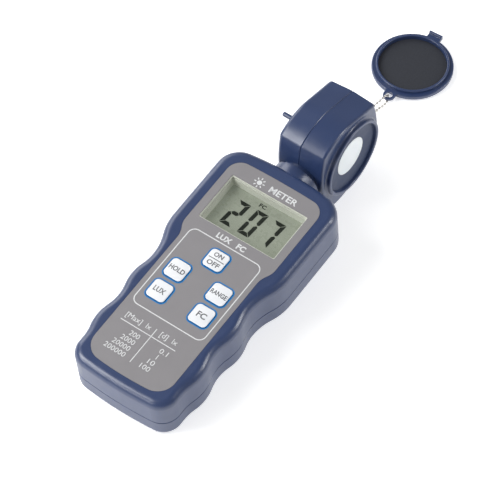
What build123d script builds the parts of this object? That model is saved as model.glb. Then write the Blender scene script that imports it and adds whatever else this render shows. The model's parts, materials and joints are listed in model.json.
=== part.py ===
"""Handheld light meter with a swivelling sensor head and a tethered sensor cap.

Each piece is modelled in the meter's own frame, in millimetres: X across the
body, Y from its front end towards the head, Z out of the display face, with
Z = 0 on the swivel axis. The last step lays the meter on a table, where the
head's lower edge and the body's front edge touch it, and writes the pieces in
the table's frame: Z up, origin at the middle of the footprint.
"""
from build123d import *
import math
import os

# ---------------------------------------------------------------- clearances
touch_gap = 0.02        # faces that rest on each other
fit_gap = 0.05          # a shaft in its bore, radial
slip_gap = 0.15         # a part that is dropped into its seat
moving_gap = 0.3        # pieces that pass each other

# ---------------------------------------------------------------- body casing
body_length = 147.0
body_half_width = 35.2      # at the display
grip_valley = 29.8          # half width in the finger hollows
grip_bump = 31.9            # half width between them
grip_pitch = 28.1           # from one hollow to the next
first_valley_y = 14.1
shoulder_y = 95.0           # where the wide part begins
front_crown = 2.0
rear_crown = 3.4
front_corner_r = 10.0
rear_corner_r = 13.0
body_depth = 28.0
parting_drop = 17.0         # parting line below the display face
wall = 2.2
face_edge_r = 4.2
back_edge_r = 3.0
seam_bevel = 0.35           # on both sides of each seam, so that it reads as a fine groove

face_z = body_depth / 2
back_z = -body_depth / 2
parting_z = face_z - parting_drop

# ---------------------------------------------------------------- label and window
label_thickness = 0.4
label_wide = 27.5           # half width beside the window
label_narrow = 24.3         # half width beside the keys
label_front_y = 6.6
label_rear_y = 138.7
label_narrow_y = 84.0
label_wide_y = 95.5
label_crown = 1.6
label_front_r = 10.0
label_rear_r = 8.0
window_half_width = 23.0
window_y0 = 99.9
window_y1 = 129.0
window_corner_r = 0.8
window_depth = 7.4          # from the face to the display glass
lens_thickness = 0.8
lens_inset = 1.2            # from the face to the top of the lens
lcd_thickness = 2.8
lcd_margin = 1.0            # display glass beyond the window, each side
lcd_frame_wall = 1.2
frame_shoulder = 0.5        # the frame's outer step below the casing's roof
frame_opening_inset = 0.8
lens_seat_inset = 0.4
label_gap = 0.1
zebra_height = 2.0
zebra_width = 2.0

# ---------------------------------------------------------------- keys
key_size = 11.0
key_corner_r = 2.3
key_proud = 0.9
key_dome = 0.35
key_travel = 0.6
key_side_gap = 0.25
key_flange = 1.0            # flange beyond the key, each side
key_flange_thickness = 1.0
key_stem_r = 2.0
key_edge_r = 0.5
key_skirt = 0.8             # the key's depth below the casing's roof
key_dome_inset = 0.45
key_x = 12.7
key_rows = {"power": 83.6, "upper": 68.6, "lower": 54.3}
switch_shift_y = 4.4        # the lower pair's switches sit this much nearer the head

# ---------------------------------------------------------------- circuit board
board_thickness = 1.6
board_half_width = 24.6
board_y0 = 54.6
board_y1 = 135.0
board_screw_x = 21.6
board_screw_rows = (62.0, 92.6)
switch_size = 6.0
switch_body_height = 3.5
switch_plunger_r = 1.7
switch_plunger_height = 1.1
chip_size = 14.0
chip_height = 1.5
chip_pin_count = 11         # on each side
chip_pin_pitch = 1.1
chip_pin_half_width = 0.2
chip_pin_reach = 1.2
chip_pin_height = 0.5
crystal_size = (11.0, 4.0, 3.4)
crystal_place = (-12.5, 86.0)
capacitor_r = 2.5
capacitor_height = 7.0
capacitor_places = ((-16.0, 78.0), (-9.0, 78.0))
trimmer_size = 6.0
trimmer_height = 3.5
trimmer_places = ((4.0, 93.0), (12.0, 93.0))

lcd_top = face_z - window_depth
board_top = lcd_top - lcd_thickness - zebra_height
board_bottom = board_top - board_thickness
switch_top = board_top + switch_body_height + switch_plunger_height

# ---------------------------------------------------------------- battery
battery_length = 48.5
battery_width = 26.5
battery_height = 17.5
battery_y0 = 10.6
battery_x0 = -26.0
battery_lift = 0.3          # above the door
snap_thickness = 3.0
snap_stud_r = 2.6
snap_stud_offset = 6.35     # from the middle, each way
snap_stud_length = 1.2
snap_back = 0.9             # the snap's plate behind the studs' seat
snap_inset_y = 1.0
snap_inset_z = 2.0
snap_edge_r = 3.0
battery_edge_r = 2.0
door_half_width = 26.2
door_margin = 1.0           # door beyond the battery, each end
door_gap = 0.2
door_thickness = 2.2
door_corner_r = 2.0
grip_line_count = 5
grip_line_r = 0.45
grip_line_pitch = 1.8
grip_line_half = 6.0
lead_r = 0.7
lead_spread = 1.4           # each lead from the snap's middle
lead_bend_r = 2.5
lead_end_inset = 4.0        # where the leads meet the board, from its side edge
lead_end_y = 5.0            # and from its front edge

# ---------------------------------------------------------------- screws
screw_r = 1.0
screw_head_r = 2.1
screw_head_height = 1.5
screw_head_edge_r = 0.5
cross_half_length = 1.3
cross_half_width = 0.25
cross_depth = 0.8
pilot_r = 1.05
post_r = 3.0
board_post_r = 2.2
post_root = 0.5             # a head post's end inside the wall
through_gap = 0.2           # screw hole beyond the pilot hole's radius
case_screws = ((-19.0, 6.7), (19.0, 6.7), (-28.2, 132.4), (28.2, 132.4))
case_screw_length = 14.0
board_screw_length = 6.0
screw_end_gap = 2.0         # pilot hole beyond the screw's end
head_screw_length = 20.0
counterbore_depth = 2.4

# ---------------------------------------------------------------- neck and swivel
neck_r = 13.0
neck_y1 = 151.0
neck_y0 = 141.0
bush_r = 8.0
spindle_r = 6.5
spindle_bore_r = 3.6
spindle_flange = 3.0        # beyond the spindle's radius
spindle_flange_thickness = 2.0
clamp_wall = 5.0            # around the spindle, in the head
clip_gap_half = 4.5         # half the opening of the spring clip
bush_flange_r = 10.5
bush_flange_thickness = 1.2
washer_thickness = 0.6
clip_thickness = 1.0
clip_r = 9.0
groove_depth = 0.7
spindle_end_gap = 1.5       # spindle beyond the clip
spigot_r = 11.0
spigot_gap = 0.3

# ---------------------------------------------------------------- sensor head
head_near_y = 152.4
head_near_corner_y = 156.1
head_far_corner = (201.0, 19.1)
head_far_y = 203.3
head_top_centre = (170.8, -3.3)
head_top_r = 31.0
head_half_width = 14.0
head_draft = 3.0            # degrees, from the seam to each face
head_wall = 2.2
head_corner_r = 2.0
inner_corner_r = 1.0
head_edge_r = 1.4
back_face_r = 2.4
head_screws = ((163.5, -17.5), (163.5, 17.5), (194.0, -12.5), (194.0, 12.5))
peg_r = 1.25
peg_length = 5.0
peg_y = 167.6
peg_z = 24.1

# ---------------------------------------------------------------- sensor
ring_y = 178.0
ring_r = 21.6
ring_lip = 1.9
ring_lip_edge_r = 0.7
ring_height = 2.6
ring_root_r = 1.2
ring_backing = 1.2          # material behind the plate's ledge
recess_depth = 1.9
plate_thickness = 2.2
plate_dish = 0.9            # how far the plate's front sinks towards the diffuser
plate_step = 0.3            # the plate's seat inside the ring's bore
ledge_width = 2.0
diffuser_r = 10.8
diffuser_dome = 0.6
diffuser_proud = 0.15       # the dome's edge above the dish
diffuser_base = 3.2         # from the plate's rim down to the diffuser's back
filter_r = 7.0
filter_thickness = 2.0
holder_wall = 2.0
holder_height = 5.0
photodiode_size = 9.0
photodiode_height = 2.0
sensor_board_r = 15.0
sensor_board_size = (26.0, 20.0)
sensor_board_thickness = 1.6
cable_r = 1.6
cable_bend_r = 3.0

# ---------------------------------------------------------------- cap and its chain
cap_flange_r = 21.8
cap_flange_thickness = 3.5
cap_flange_step = 1.3       # chamfered underside
cap_edge_r = 0.6
cap_floor_depth = 1.0       # the cap's inner floor below the flange's top
cap_plug_gap = 0.2
cap_plug_height = 1.9
cap_plug_wall = 1.2
cap_rim_r = 0.42
cap_liner_thickness = 0.5
cap_rotation = 3.0
cap_x = -4.5
cap_y = 258.5               # on the table, from the body's front edge
ear_reach = 23.9            # cap centre to the ear's hole
ear_hole_r = 1.9
ear_thickness = 1.3
ear_bridge = 1.3            # between the hole and the ear's end
tab_reach = 24.9
tab_half_width = 3.8
tab_thickness = 1.6
tab_lip = 1.2
tab_lip_width = 1.5
chain_r = 0.75
fold_gap = 0.45             # between the chain and the ear's bridge
eye_hole_r = 1.6
eye_r = 3.0
eye_thickness = 1.4
eye_shaft_r = 1.5
eye_gap = 3.2               # from the head to the middle of the eye
eye_edge_r = 0.4
eye_head_r = 2.5            # the pin's head, inside the shell
eye_head_thickness = 1.4
eye_head_depth = 0.8        # from the inner wall to the pin's head
eye_head_gap = 0.2
eye_block_r = 4.2
eye_block_depth = 3.0
coupling_r = 1.15
coupling_length = 4.6
coupling_edge_r = 0.3


# ================================================================ small helpers
def block(x0, x1, y0, y1, z0, z1):
    """Box between two corners."""
    middle = Pos((x0 + x1) / 2, (y0 + y1) / 2, (z0 + z1) / 2)
    return middle * Box(x1 - x0, y1 - y0, z1 - z0)


def rod_x(r, x0, x1, y, z=0.0):
    """Cylinder along X."""
    return Pos((x0 + x1) / 2, y, z) * Rot(0, 90, 0) * Cylinder(r, x1 - x0)


def rod_y(r, y0, y1, x=0.0, z=0.0):
    """Cylinder along Y."""
    return Pos(x, (y0 + y1) / 2, z) * Rot(90, 0, 0) * Cylinder(r, y1 - y0)


def rod_z(r, z0, z1, x, y):
    """Cylinder along Z."""
    return Pos(x, y, (z0 + z1) / 2) * Cylinder(r, z1 - z0)


def slab(face, z0, z1):
    """A flat outline made solid between two heights."""
    return extrude(Pos(0, 0, z0) * face, z1 - z0)


def wavy_side(points):
    """Edges through points whose tangents all run along Y: two arcs for each step."""
    edges = []
    for (xa, ya), (xb, yb) in zip(points, points[1:]):
        middle = ((xa + xb) / 2, (ya + yb) / 2)
        edges.append(TangentArc([(xa, ya), middle], tangent=(0, 1)))
        edges.append(TangentArc([(xb, yb), middle], tangent=(0, -1)))
    return edges


def corner_pair(face, x, y):
    """The outline's two corners at the same Y, left and right."""
    near = 0.01
    return [v for v in face.vertices() if abs(v.Y - y) < near and abs(abs(v.X) - x) < near]


def mirrored_outline(side, front_y, rear_y, front_crown_y, rear_crown_y, front_r, rear_r):
    """A closed face, the same left and right, with crowned ends and round corners.

    side is the list of points of wavy_side, on the right. The ends stand out
    by their crowns at the middle."""
    half_front, half_rear = side[0][0], side[-1][0]
    corner_front = front_y + front_crown_y
    corner_rear = rear_y - rear_crown_y
    edges = wavy_side(side)
    edges.append(Line((half_front, corner_front), side[0]))
    edges.append(Line(side[-1], (half_rear, corner_rear)))
    left = [mirror(edge, Plane.YZ) for edge in edges]
    front = ThreePointArc((-half_front, corner_front), (0, front_y), (half_front, corner_front))
    rear = ThreePointArc((-half_rear, corner_rear), (0, rear_y), (half_rear, corner_rear))
    face = make_face(edges + left + [front, rear])
    face = fillet(corner_pair(face, half_front, corner_front), front_r)
    return fillet(corner_pair(face, half_rear, corner_rear), rear_r)


def grow(face, by):
    """The same outline, larger or smaller all round."""
    return offset(face, by, kind=Kind.INTERSECTION)


# ================================================================ shared outlines
def body_outline():
    side = [(grip_valley, first_valley_y)]
    for number in (1, 3):
        side.append((grip_bump, first_valley_y + number * grip_pitch / 2))
        side.append((grip_valley, first_valley_y + (number + 1) * grip_pitch / 2))
    side.append((body_half_width, shoulder_y))
    return mirrored_outline(side, 0, body_length, front_crown, rear_crown, front_corner_r, rear_corner_r)


def label_outline():
    side = [(label_narrow, label_narrow_y), (label_wide, label_wide_y)]
    return mirrored_outline(side, label_front_y, label_rear_y, label_crown, label_crown / 2,
                            label_front_r, label_rear_r)


def window_outline(margin=0.0):
    middle_y = (window_y0 + window_y1) / 2
    size_x = 2 * (window_half_width + margin)
    size_y = window_y1 - window_y0 + 2 * margin
    return Pos(0, middle_y) * RectangleRounded(size_x, size_y, window_corner_r)


def key_outline(x, y, margin=0.0):
    size = key_size + 2 * margin
    return Pos(x, y) * RectangleRounded(size, size, key_corner_r + margin)


def key_places():
    """Each key's name, centre and the centre of its switch."""
    lower_switch = key_rows["lower"] + switch_shift_y
    return {
        "on_off_key": (0.0, key_rows["power"], key_rows["power"]),
        "hold_key": (-key_x, key_rows["upper"], key_rows["upper"]),
        "range_key": (key_x, key_rows["upper"], key_rows["upper"]),
        "lux_key": (-key_x, key_rows["lower"], lower_switch),
        "fc_key": (key_x, key_rows["lower"], lower_switch),
    }


def head_outline(shrink=0.0):
    """The head's side view, as a face in the YZ plane at X = 0."""
    near_y = head_near_y + shrink
    near_corner_y = head_near_corner_y + shrink
    far = (head_far_corner[0] - shrink, head_far_corner[1] - shrink)
    top_r = head_top_r - shrink
    cy, cz = head_top_centre
    start = (near_corner_y, cz + math.sqrt(top_r ** 2 - (near_corner_y - cy) ** 2))
    reach = math.dist(far, head_top_centre)
    turn = math.atan2(far[1] - cz, far[0] - cy) + math.acos(top_r / reach)
    touch = (cy + top_r * math.cos(turn), cz + top_r * math.sin(turn))
    upper = [
        ThreePointArc(start, (cy, cz + top_r), touch),
        Line(touch, far),
    ]
    lower = [mirror(edge, Plane.XZ) for edge in upper]
    near_arc = ThreePointArc((start[0], -start[1]), (near_y, 0), start)
    far_arc = ThreePointArc((far[0], -far[1]), (head_far_y - shrink, 0), far)
    face = make_face(upper + lower + [near_arc, far_arc])
    near_pair = [v for v in face.vertices() if abs(v.X - start[0]) < 0.01]
    return fillet(near_pair, max(head_corner_r - shrink, inner_corner_r))


def across(face):
    """Turns a flat outline in (Y, Z) into the YZ plane at X = 0."""
    return Plane.YZ * face


# ================================================================ casing
def neck_boss():
    return rod_y(neck_r, neck_y0, neck_y1)


def neck_bore():
    return rod_y(bush_r + fit_gap, neck_y0 - 1, neck_y1 + 1)


def outer_half(z0, z1, rounded, radius):
    """The body's outer form between two heights, rounded at one end and bevelled at the seam."""
    solid = slab(body_outline(), z0, z1)
    round_end, seam_end = (-1, 0) if rounded == "top" else (0, -1)
    solid = fillet(solid.faces().sort_by(Axis.Z)[round_end].edges(), radius)
    return chamfer(solid.faces().sort_by(Axis.Z)[seam_end].edges(), seam_bevel)


def hollow_half(z0, z1):
    return slab(grow(body_outline(), -wall), z0, z1)


def neck_half(z0, z1):
    return neck_boss() & block(-60, 60, 0, neck_y1 + 1, z0, z1)


def front_casing():
    body = outer_half(parting_z, face_z, "top", face_edge_r)
    shell = body - hollow_half(parting_z - 1, face_z - wall)
    shell += neck_half(parting_z, face_z + 5)
    shell -= slab(label_outline(), face_z - label_thickness, face_z + 1)
    shell -= slab(window_outline(slip_gap), 0, face_z + 1)
    for x, y, _ in key_places().values():
        shell -= slab(key_outline(x, y, key_side_gap), 0, face_z + 1)
    for x, y in case_screws:
        shell += rod_z(post_r, parting_z, face_z - wall, x, y) & body
        shell -= rod_z(pilot_r, parting_z, parting_z + case_screw_length, x, y)
    for x in (-board_screw_x, board_screw_x):
        for y in board_screw_rows:
            shell += rod_z(board_post_r, board_top, face_z - wall, x, y)
            shell -= rod_z(pilot_r, board_top, board_top + board_screw_length, x, y)
    return shell - neck_bore()


def door_outline(margin=0.0):
    y0 = battery_y0 - door_margin - margin
    y1 = battery_y0 + battery_width + door_margin + margin
    size_x = 2 * (door_half_width + margin)
    return Pos(0, (y0 + y1) / 2) * RectangleRounded(size_x, y1 - y0, door_corner_r + margin)


def rear_casing():
    body = outer_half(back_z, parting_z, "bottom", back_edge_r)
    shell = body - hollow_half(back_z + door_thickness, parting_z + 1)
    shell += neck_half(back_z - 5, parting_z)
    shell -= slab(door_outline(), back_z - 1, back_z + door_thickness + 1)
    for x, y in case_screws:
        shell += rod_z(post_r, back_z + wall, parting_z, x, y) & body
        shell -= rod_z(pilot_r + through_gap, back_z - 1, parting_z + 1, x, y)
        shell -= rod_z(screw_head_r + slip_gap, back_z - 1, back_z + counterbore_depth, x, y)
    return shell - neck_bore()


def battery_door():
    door = slab(door_outline(-door_gap), back_z, back_z + door_thickness)
    edge_y = battery_y0 + battery_width - grip_line_pitch
    for number in range(grip_line_count):
        door -= rod_x(grip_line_r, -grip_line_half, grip_line_half,
                      edge_y - grip_line_pitch * number, back_z)
    return door


def machine_screw(length):
    """A pan head screw along Z with its head's seat at 0 and its shank going up."""
    shank = rod_z(screw_r, -0.5, length, 0, 0)
    head = rod_z(screw_head_r, -screw_head_height, 0, 0, 0)
    head = fillet(head.edges().sort_by(Axis.Z)[0], screw_head_edge_r)
    slot = block(-cross_half_length, cross_half_length, -cross_half_width, cross_half_width,
                 -screw_head_height - 1, -screw_head_height + cross_depth)
    return head + shank - slot - Rot(0, 0, 90) * slot


def casing_screws():
    seat = back_z + counterbore_depth
    screw = machine_screw(parting_z + case_screw_length - seat - screw_end_gap)
    return [Pos(x, y, seat) * screw for x, y in case_screws]


def label_panel():
    sheet = slab(grow(label_outline(), -label_gap), face_z - label_thickness, face_z)
    sheet -= slab(window_outline(), face_z - 2, face_z + 1)
    for x, y, _ in key_places().values():
        sheet -= slab(key_outline(x, y, key_side_gap), face_z - 2, face_z + 1)
    return sheet


# ================================================================ display
def lcd_frame():
    """Holds the lens over the display and hides the gap between them."""
    outer = slab(window_outline(lcd_margin + lcd_frame_wall), board_top, face_z - wall)
    outer += slab(window_outline(), face_z - wall - frame_shoulder, face_z - label_thickness)
    opening = slab(window_outline(-frame_opening_inset), 0, face_z + 1)
    lens_seat = slab(window_outline(-lens_seat_inset), face_z - lens_inset - lens_thickness, face_z + 1)
    pocket = slab(window_outline(lcd_margin + slip_gap), board_top - 1, lcd_top + 0.05)
    return outer - opening - lens_seat - pocket


def window_lens():
    top = face_z - lens_inset
    return slab(window_outline(-lens_seat_inset - fit_gap), top - lens_thickness + touch_gap, top)


def lcd_glass():
    front_glass = slab(window_outline(lcd_margin), lcd_top - lcd_thickness / 2, lcd_top)
    rear_outline = window_outline(lcd_margin)
    back_glass = slab(rear_outline, lcd_top - lcd_thickness, lcd_top - lcd_thickness / 2)
    return front_glass + back_glass


def zebra_strips():
    half = window_half_width - 1
    strips = []
    for y in (window_y0 + zebra_width / 2, window_y1 - zebra_width / 2):
        strips.append(block(-half, half, y - zebra_width / 2, y + zebra_width / 2,
                            board_top, board_top + zebra_height))
    return strips


# ================================================================ keys and board
def key_cap(x, y, switch_y):
    top = face_z + key_proud - key_dome
    bottom = face_z - wall - key_skirt
    cap = slab(key_outline(x, y), bottom, top)
    cap = fillet(cap.faces().sort_by(Axis.Z)[-1].edges(), key_edge_r)
    dome_r = key_size ** 2 / (8 * key_dome)
    dome = Pos(x, y, top + key_dome - dome_r) * Sphere(dome_r)
    cap += dome & slab(key_outline(x, y, -key_dome_inset), top - 0.1, top + 1)
    flange_top = face_z - wall - fit_gap
    cap += slab(key_outline(x, y, key_flange), flange_top - key_flange_thickness, flange_top)
    stem_bottom = switch_top + key_travel + fit_gap
    return cap + rod_z(key_stem_r, stem_bottom, flange_top - key_flange_thickness / 2, x, switch_y)


def main_board():
    board = block(-board_half_width, board_half_width, board_y0, board_y1, board_bottom, board_top)
    board = fillet(board.edges().filter_by(Axis.Z), 1.0)
    for x in (-board_screw_x, board_screw_x):
        for y in board_screw_rows:
            board -= rod_z(pilot_r + through_gap, board_bottom - 1, board_top + 1, x, y)
    return board


def board_screws():
    screw = machine_screw(board_screw_length + board_thickness - 1)
    return [Pos(x, y, board_bottom) * screw
            for x in (-board_screw_x, board_screw_x) for y in board_screw_rows]


def tact_switches():
    switches = []
    for x, _, y in key_places().values():
        half = switch_size / 2
        body = block(x - half, x + half, y - half, y + half, board_top, board_top + switch_body_height)
        switches.append(body + rod_z(switch_plunger_r, board_top + 1, switch_top, x, y))
    return switches


def main_chip():
    half = chip_size / 2
    y = (window_y0 + window_y1) / 2
    low = board_bottom - chip_pin_height
    chip = block(-half, half, y - half, y + half, board_bottom - chip_height, board_bottom)
    for number in range(chip_pin_count):
        along = (number - (chip_pin_count - 1) / 2) * chip_pin_pitch
        a, b = along - chip_pin_half_width, along + chip_pin_half_width
        for side in (-1, 1):
            near, far = sorted((side * half, side * (half + chip_pin_reach)))
            chip += block(near, far, y + a, y + b, low, board_bottom)
            chip += block(a, b, y + near, y + far, low, board_bottom)
    return chip


def board_parts():
    """Crystal, capacitors and calibration trimmers on the back of the board."""
    low = board_bottom
    long, wide, tall = crystal_size
    crystal = Pos(*crystal_place, low - tall / 2) * Box(long, wide, tall)
    crystal = fillet(crystal.edges().filter_by(Axis.Z), wide / 2 - 0.1)
    capacitors = [rod_z(capacitor_r, low - capacitor_height, low, x, y) for x, y in capacitor_places]
    half = trimmer_size / 2
    trimmers = [block(x - half, x + half, y - half, y + half, low - trimmer_height, low)
                for x, y in trimmer_places]
    return [crystal] + capacitors + trimmers


# ================================================================ battery
def battery_low_z():
    return back_z + door_thickness + battery_lift


def battery():
    low = battery_low_z()
    cell = block(battery_x0, battery_x0 + battery_length, battery_y0, battery_y0 + battery_width,
                 low, low + battery_height)
    return fillet(cell.edges().filter_by(Axis.X), battery_edge_r)


def battery_snap():
    """The clip with its two snap studs on the battery's end."""
    x0 = battery_x0 + battery_length
    low = battery_low_z()
    y0, y1 = battery_y0 + snap_inset_y, battery_y0 + battery_width - snap_inset_y
    snap = block(x0 + snap_back, x0 + snap_thickness, y0, y1,
                 low + snap_inset_z, low + battery_height - snap_inset_z)
    snap = fillet(snap.edges().filter_by(Axis.X), snap_edge_r)
    middle_y, middle_z = (y0 + y1) / 2, low + battery_height / 2
    for side in (-1, 1):
        snap += rod_x(snap_stud_r, x0 + touch_gap, x0 + snap_stud_length,
                      middle_y + side * snap_stud_offset, middle_z)
    return snap


def battery_leads():
    """Two leads from the snap to the board's edge."""
    x = battery_x0 + battery_length + snap_thickness / 2 + 0.4
    low = battery_low_z()
    start_y = battery_y0 + battery_width - snap_inset_y
    leads = []
    for side in (-1, 1):
        z0 = low + battery_height / 2 + side * lead_spread
        end_x = board_half_width - lead_end_inset - side * lead_spread
        end_z = board_bottom - lead_r
        points = [(x, start_y, z0), (x, start_y + 7, z0), (x - lead_end_inset, board_y0 - 2, end_z),
                  (end_x, board_y0 + lead_end_y, end_z)]
        path = FilletPolyline(*points, radius=lead_bend_r)
        leads.append(sweep(Plane(path @ 0, z_dir=path % 0) * Circle(lead_r), path))
    return leads


# ================================================================ swivel
bush_inner_y = neck_y0 - bush_flange_thickness
clip_y1 = bush_inner_y - washer_thickness - 2 * fit_gap
clip_y0 = clip_y1 - clip_thickness
spindle_y0 = clip_y0 - spindle_end_gap
spindle_flange_y0 = head_near_y + head_wall


def swivel_spindle():
    """Hollow spindle that is clamped between the head's shells and turns in the bush."""
    flange_y1 = spindle_flange_y0 + spindle_flange_thickness
    spindle = rod_y(spindle_r, spindle_y0, flange_y1)
    spindle += rod_y(spindle_r + spindle_flange, spindle_flange_y0, flange_y1)
    groove = rod_y(spindle_r + 1, clip_y0 - fit_gap, clip_y1 + fit_gap)
    groove -= rod_y(spindle_r - groove_depth, clip_y0 - 1, clip_y1 + 1)
    spindle -= groove
    return spindle - rod_y(spindle_bore_r, spindle_y0 - 1, spindle_flange_y0 + 5)


def neck_bush():
    bush = rod_y(bush_r, neck_y0 - 0.5, neck_y1)
    bush += rod_y(bush_flange_r, bush_inner_y, neck_y0)
    return bush - rod_y(spindle_r + fit_gap, bush_inner_y - 1, neck_y1 + 1)


def friction_washer():
    y1 = bush_inner_y - fit_gap
    washer = rod_y(clip_r + 0.4, y1 - washer_thickness, y1)
    return washer - rod_y(spindle_r + 2 * fit_gap, y1 - 2, y1 + 1)


def retaining_clip():
    """Open spring clip in the spindle's groove."""
    clip = rod_y(clip_r, clip_y0, clip_y1)
    clip -= rod_y(spindle_r - groove_depth + fit_gap, clip_y0 - 1, clip_y1 + 1)
    clip -= block(-clip_gap_half, clip_gap_half, clip_y0 - 1, clip_y1 + 1, 0, clip_r + 1)
    return clip


# ================================================================ sensor head
def head_solid(side):
    """One half of the head's outer form, drafted away from the seam."""
    half = extrude(across(head_outline()), side * head_half_width, taper=head_draft)
    outer_end, seam_end = (-1, 0) if side > 0 else (0, -1)
    half = fillet(half.faces().sort_by(Axis.X)[outer_end].edges(), head_edge_r if side > 0 else back_face_r)
    return chamfer(half.faces().sort_by(Axis.X)[seam_end].edges(), seam_bevel)


def head_cavity(side):
    depth = head_half_width - head_wall
    return extrude(across(head_outline(head_wall)), side * depth)


def spindle_seat():
    flange_y1 = spindle_flange_y0 + spindle_flange_thickness
    seat = rod_y(spindle_r + fit_gap, head_near_y - 10, flange_y1)
    return seat + rod_y(spindle_r + spindle_flange + fit_gap, spindle_flange_y0, flange_y1 + fit_gap)


def spindle_socket():
    """Spigot that faces the neck and the block that clamps the spindle's flange."""
    spigot = rod_y(spigot_r, neck_y1 + spigot_gap, head_near_y + head_wall)
    clamp = rod_y(spindle_r + clamp_wall, head_near_y + 1, spindle_flange_y0 + 2 * spindle_flange_thickness)
    bore = rod_y(spindle_bore_r, head_near_y, spindle_flange_y0 + 10)
    return spigot + clamp - bore - spindle_seat()


def eye_seat():
    """The chain eye's pin turns in this hole in the far end, its head inside."""
    inner = head_far_y - head_wall
    hole = rod_y(eye_shaft_r + fit_gap, inner - 5, head_far_y + 2)
    return hole + rod_y(eye_head_r + eye_head_gap, inner - 5, inner - eye_head_depth + eye_head_gap)


def eye_block():
    inner = head_far_y - head_wall
    return rod_y(eye_block_r, inner - eye_block_depth, inner + 0.5)


def half_space(side):
    x0, x1 = sorted((0, side * 60))
    return block(x0, x1, head_near_y - 20, head_far_y + 20, -60, 60)


def head_front_shell():
    """The half with the sensor ring."""
    shell = head_solid(1) - head_cavity(1)
    top_x = head_half_width + ring_height
    ring = rod_x(ring_r, head_half_width - 2, top_x, ring_y)
    root = rod_x(ring_r + ring_root_r, head_half_width - 0.5, head_half_width + ring_root_r, ring_y)
    root_cut = Pos(head_half_width + ring_root_r, ring_y, 0) * Rot(0, 90, 0)
    root -= root_cut * Torus(ring_r + ring_root_r, ring_root_r)
    shell += ring + root
    floor_x = top_x - recess_depth
    back_x = floor_x - plate_thickness
    shell += rod_x(ring_bore_r + ring_lip, back_x - ring_backing, head_half_width - 1, ring_y)
    shell -= rod_x(ring_bore_r, floor_x, top_x + 1, ring_y)
    shell -= rod_x(plate_seat_r, back_x, top_x + 1, ring_y)
    shell -= rod_x(plate_seat_r - ledge_width, back_x - 5, top_x + 1, ring_y)
    lip = shell.edges().filter_by(GeomType.CIRCLE).group_by(Axis.X)[-1]
    shell = fillet(lip, ring_lip_edge_r)
    for y, z in head_screws:
        shell += rod_x(post_r, 0, head_half_width - head_wall + post_root, y, z)
        shell -= rod_x(pilot_r, 0, head_half_width - head_wall - post_root, y, z)
    shell += (spindle_socket() + eye_block()) & half_space(1)
    return shell - eye_seat() - spindle_seat()


def head_rear_shell():
    """The half with the peg."""
    shell = head_solid(-1) - head_cavity(-1)
    for y, z in head_screws:
        shell += rod_x(post_r, -head_half_width + 1, 0, y, z)
        shell -= rod_x(pilot_r + through_gap, -head_half_width - 1, 1, y, z)
        shell -= rod_x(screw_head_r + slip_gap, -head_half_width - 1,
                       -head_half_width + counterbore_depth, y, z)
    peg = rod_x(peg_r, -head_half_width - peg_length, -head_half_width + 1, peg_y, peg_z)
    peg = fillet(peg.edges().sort_by(Axis.X)[0], peg_r * 0.6)
    shell += peg
    shell += (spindle_socket() + eye_block()) & half_space(-1)
    return shell - eye_seat() - spindle_seat()


def head_shell_screws():
    seat = -head_half_width + counterbore_depth
    screw = Rot(0, 90, 0) * machine_screw(head_screw_length)
    return [Pos(seat, y, z) * screw for y, z in head_screws]


# ================================================================ sensor
ring_bore_r = ring_r - ring_lip
plate_seat_r = ring_bore_r - plate_step
plate_x1 = head_half_width + ring_height - recess_depth
plate_x0 = plate_x1 - plate_thickness
dish_x = plate_x1 - plate_dish
diffuser_x0 = plate_x1 - diffuser_base
sensor_board_x1 = diffuser_x0 - touch_gap - holder_height


def sensor_plate():
    """Round plate whose front is a shallow dish down to the diffuser."""
    plate = rod_x(plate_seat_r - slip_gap, plate_x0, plate_x1, ring_y)
    dish = Cone(diffuser_r, plate_seat_r - 2 * slip_gap, plate_dish)
    plate -= Pos((dish_x + plate_x1) / 2, ring_y, 0) * Rot(0, 90, 0) * dish
    return plate - rod_x(diffuser_r + fit_gap, plate_x0 - 1, plate_x1 + 1, ring_y)


def diffuser():
    """Opal disc with a slightly domed front."""
    edge_x = dish_x + diffuser_proud
    disc = rod_x(diffuser_r, diffuser_x0, edge_x, ring_y)
    dome_r = (diffuser_r ** 2 + diffuser_dome ** 2) / (2 * diffuser_dome)
    dome = Pos(edge_x + diffuser_dome - dome_r, ring_y, 0) * Sphere(dome_r)
    return disc + (dome & rod_x(diffuser_r, dish_x - 0.1, edge_x + 2 * diffuser_dome, ring_y))


def sensor_holder():
    """Cup that holds the filter and photodiode behind the diffuser."""
    x1 = diffuser_x0 - touch_gap
    holder = rod_x(filter_r + holder_wall, x1 - holder_height, x1, ring_y)
    holder -= rod_x(filter_r + fit_gap, x1 - filter_thickness, x1 + 1, ring_y)
    half = photodiode_size / 2 + 2 * fit_gap
    return holder - block(x1 - 8, x1 + 1, ring_y - half, ring_y + half, -half, half)


def optical_filter():
    x1 = diffuser_x0 - touch_gap
    return rod_x(filter_r, x1 - filter_thickness + touch_gap, x1, ring_y)


def photodiode():
    x1 = diffuser_x0 - filter_thickness - 2 * fit_gap
    half = photodiode_size / 2
    return block(x1 - photodiode_height, x1, ring_y - half, ring_y + half, -half, half)


def sensor_board():
    board = rod_x(sensor_board_r, sensor_board_x1 - sensor_board_thickness, sensor_board_x1, ring_y)
    half_y, half_z = sensor_board_size[0] / 2, sensor_board_size[1] / 2
    return board & block(-20, 20, ring_y - half_y, ring_y + half_y, -half_z, half_z)


def sensor_cable():
    """Screened lead from the sensor board through the spindle to the main board."""
    x = sensor_board_x1 - sensor_board_thickness - cable_r
    points = [(x, ring_y - 4, 0), (x, ring_y - 12, 0), (0, spindle_flange_y0 + 8, 0),
              (0, spindle_y0 - 1, 0)]
    path = FilletPolyline(*points, radius=cable_bend_r)
    return sweep(Plane(path @ 0, z_dir=path % 0) * Circle(cable_r), path)


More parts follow.
